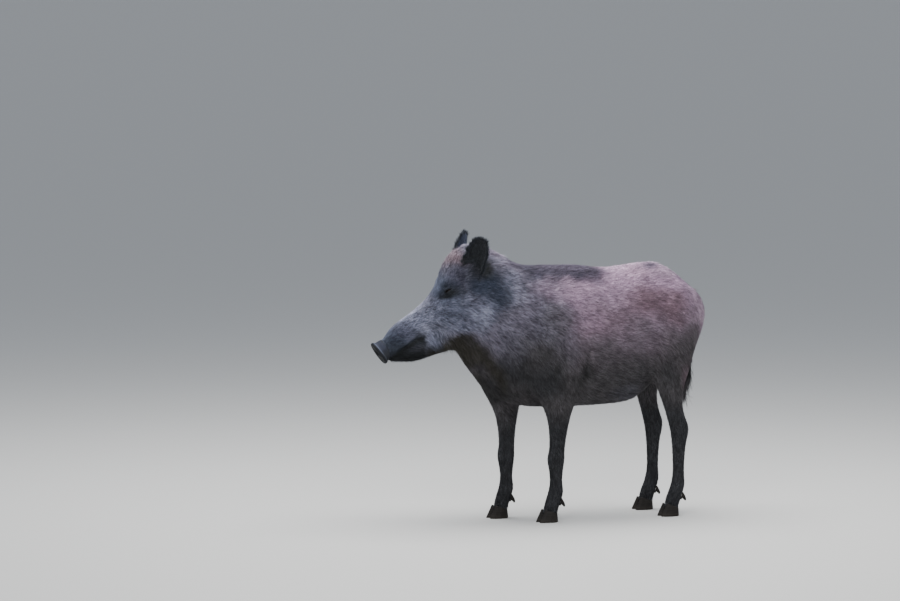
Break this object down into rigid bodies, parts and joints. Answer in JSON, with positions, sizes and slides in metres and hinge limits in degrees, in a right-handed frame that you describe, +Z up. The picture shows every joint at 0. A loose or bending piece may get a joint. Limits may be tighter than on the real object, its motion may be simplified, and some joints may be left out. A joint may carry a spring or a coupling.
{
  "type": "young wild boar sow, life-size standing model",
  "caption": "Life-size young wild boar sow standing in a short summer coat, with its long snout held low and its ears up.",
  "frame": {"origin": "on the floor, under the middle of the whole boar's outer size", "axes": "the boar faces -X, its right side is +Y and +Z is up"},
  "size_m": [1.0048, 0.2834, 0.826],
  "materials": {
    "coat": "short streaky bristle coat, brown with a mauve cast",
    "grey_coat": "short grizzled grey bristle coat",
    "dark_coat": "near-black bristle coat",
    "snout": "moist bare skin",
    "eye": "wet gloss",
    "horn": "worn hoof horn"
  },
  "bodies": {
    "root": {"head": "grey_coat", "lower_jaw": "dark_coat", "neck": "grey_coat", "trunk": "coat", "tail": "dark_coat", "snout_disc": "snout", "ear_left": "dark_coat", "ear_right": "dark_coat", "eye_left": "eye", "eye_right": "eye", "hoof_fore_left_outer": "horn", "dewclaw_fore_left_outer": "horn", "hoof_fore_left_inner": "horn", "dewclaw_fore_left_inner": "horn", "shoulder_left": "coat", "foreleg_left": "dark_coat", "hoof_fore_right_outer": "horn", "dewclaw_fore_right_outer": "horn", "hoof_fore_right_inner": "horn", "dewclaw_fore_right_inner": "horn", "shoulder_right": "coat", "foreleg_right": "dark_coat", "hoof_hind_left_outer": "horn", "dewclaw_hind_left_outer": "horn", "hoof_hind_left_inner": "horn", "dewclaw_hind_left_inner": "horn", "ham_left": "coat", "hindleg_left": "dark_coat", "hoof_hind_right_outer": "horn", "dewclaw_hind_right_outer": "horn", "hoof_hind_right_inner": "horn", "dewclaw_hind_right_inner": "horn", "ham_right": "coat", "hindleg_right": "dark_coat"}
  },
  "joints": []
}
